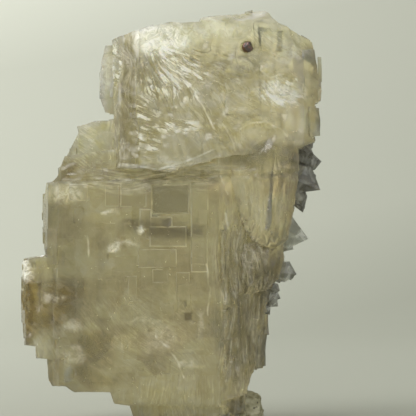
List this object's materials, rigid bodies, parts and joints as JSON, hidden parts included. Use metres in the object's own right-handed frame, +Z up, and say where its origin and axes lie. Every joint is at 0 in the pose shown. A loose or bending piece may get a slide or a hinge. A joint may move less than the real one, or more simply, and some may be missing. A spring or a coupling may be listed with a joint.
{
  "type": "calcite specimen",
  "caption": "Blocky, stepped calcite crystals grown together, with quartz crystals along one side and a flat cut foot to stand on.",
  "frame": {"origin": "under the middle of the object's box, on the surface it stands on", "axes": "+Z up, +Y from the broad front face to the back, +X to the right as seen from the front"},
  "size_m": [0.085, 0.046, 0.1157],
  "materials": {
    "calcite": "translucent, glassy cleavage faces with milky zones",
    "smoky_quartz": "clear smoky grey, glossy faces",
    "clear_quartz": "clear, glossy faces",
    "grey_quartz": "clear grey, glossy faces",
    "sphalerite": "red-brown, bright resinous lustre",
    "dolomite": "rough, crumbly cream rock"
  },
  "bodies": {
    "root": {"calcite_crystals": "calcite", "smoky_quartz_cluster": "smoky_quartz", "clear_quartz_crystal": "clear_quartz", "grey_quartz_cluster": "grey_quartz", "sphalerite_grain": "sphalerite", "matrix_fragment": "dolomite"}
  },
  "joints": []
}
